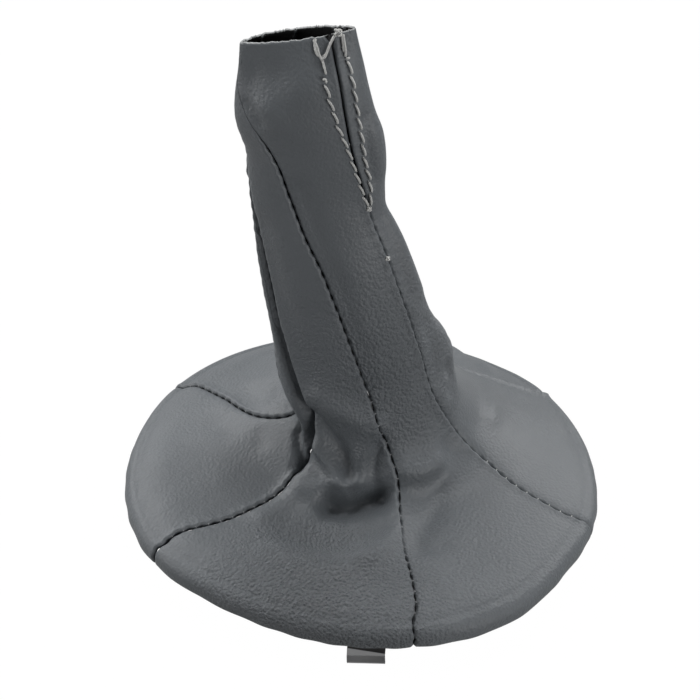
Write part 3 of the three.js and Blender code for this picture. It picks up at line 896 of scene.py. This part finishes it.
def crossingPaths(name):
    first, last = crossings[name]["rows"]
    sink, half = crossings[name]["sink"], crossing["half"]
    rows = rowMarks()
    length = arcLength(seamEdge(name, rows, 1)[1])
    stitches = np.arange(1, int(length[-1] / seamForm["pitch"])) * seamForm["pitch"]
    v = np.interp(stitches, length, rows)
    v = v[(v > first) & (v < last)]
    _, at, out, along = seamEdge(name, v, 1)
    under = at - out * (sink + crossing["dive"])
    return list(np.stack([under - along * half, at - out * sink, under + along * half], 1))


def smoothPath(points, steps):
    marks = np.linspace(0, len(points) - 1, steps * (len(points) - 1) + 1)
    return np.stack([between(axis, marks) for axis in np.array(points).T], -1)


def knotPath(knot):
    form = knotForm
    turn = np.linspace(0, form["turns"] * 2 * math.pi, form["steps"])
    reach = form["inner"] + form["outer"] * np.cos(form["weave"] * turn)
    depth = form["flat"] * np.sin(form["weave"] * turn)
    loops = np.stack([reach * np.cos(turn), depth, reach * np.sin(turn)], -1)
    return slitPoint(*knot["at"]) + loops * knot["size"]


def addThreads():
    finishes = {ply: threadFinish(ply) for ply in thread["plies"]}
    pale = finishes["pale"]
    for name in ("left", "right"):
        addTubes("stitches_" + name, stitchRow(topStitch[name]), topStitch["radius"], pale)
    loose = [
        smoothPath([slitPoint(*point) for point in path], steps=7) for path in looseThreads.values()
    ]
    addTubes("loose_threads", loose, looseRadius, pale)
    addTubes("knots", [knotPath(knot) for knot in knots.values()], knotForm["radius"], pale)
    for name, threads in crossings.items():
        paths = [smoothPath(path, steps=3) for path in crossingPaths(name)]
        addTubes("seam_threads_" + name, paths, crossing["radius"], finishes[threads["ply"]])


# Base frame, which keeps its shape from the CAD model

def dressFrame():
    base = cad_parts["base_frame"]
    base.data.materials.clear()
    base.data.materials.append(plasticFinish())


# Floor and background

# how bright the white surround is to each kind of ray
surround = dict(diffuse=0.02, rays={"Is Camera Ray": 1, "Is Glossy Ray": 0.1, "Is Transmission Ray": 1})
floorForm = dict(
    half=6000, color=(0.12, 0.12, 0.12), roughness=0.9, glow=1.04,
    rays={"Is Camera Ray": 0.96, "Is Glossy Ray": 0.4, "Is Transmission Ray": 0.96},
)


def addFloor():
    finish = Finish("floor", floorForm["color"], floorForm["roughness"])
    lit = 0
    for ray, share in floorForm["rays"].items():
        lit = finish.node("ShaderNodeLightPath", {}, {}, ray) * share + lit
    glow = finish.node("ShaderNodeEmission", {}, {"Color": (1, 1, 1, 1), "Strength": floorForm["glow"]})
    surface = Wire(finish, finish.shader.outputs[0])
    mixed = finish.node("ShaderNodeMixShader", {}, {0: lit, 1: surface, 2: glow})
    finish.set(finish.tree.nodes["Material Output"], {"Surface": mixed})
    half, low = floorForm["half"], -seat / mm
    corners = [(-half, -half, low), (half, -half, low), (half, half, low), (-half, half, low)]
    addMesh("floor", corners, [(0, 1, 2, 3)], [finish.material])


def addWorld():
    world = bpy.data.worlds.new("world")
    bpy.context.scene.world = world
    world.use_nodes = True
    nodes = Nodes(world.node_tree)
    strength = surround["diffuse"]
    for ray, share in surround["rays"].items():
        seen = nodes.node("ShaderNodeLightPath", {}, {}, ray)
        strength = nodes.node("ShaderNodeMix", {}, {0: seen, 2: strength, 3: share})
    nodes.set(world.node_tree.nodes["Background"], {"Color": (1, 1, 1, 1), "Strength": strength})


bpy.context.scene.view_settings.view_transform = "Standard"
addCamera()
addLamps()
print("camera and lamps ready")
addPanels()
print("leather ready")
addThreads()
print("threads ready")
dressFrame()
print("frame ready")
addFloor()
addWorld()
print("floor and world ready")
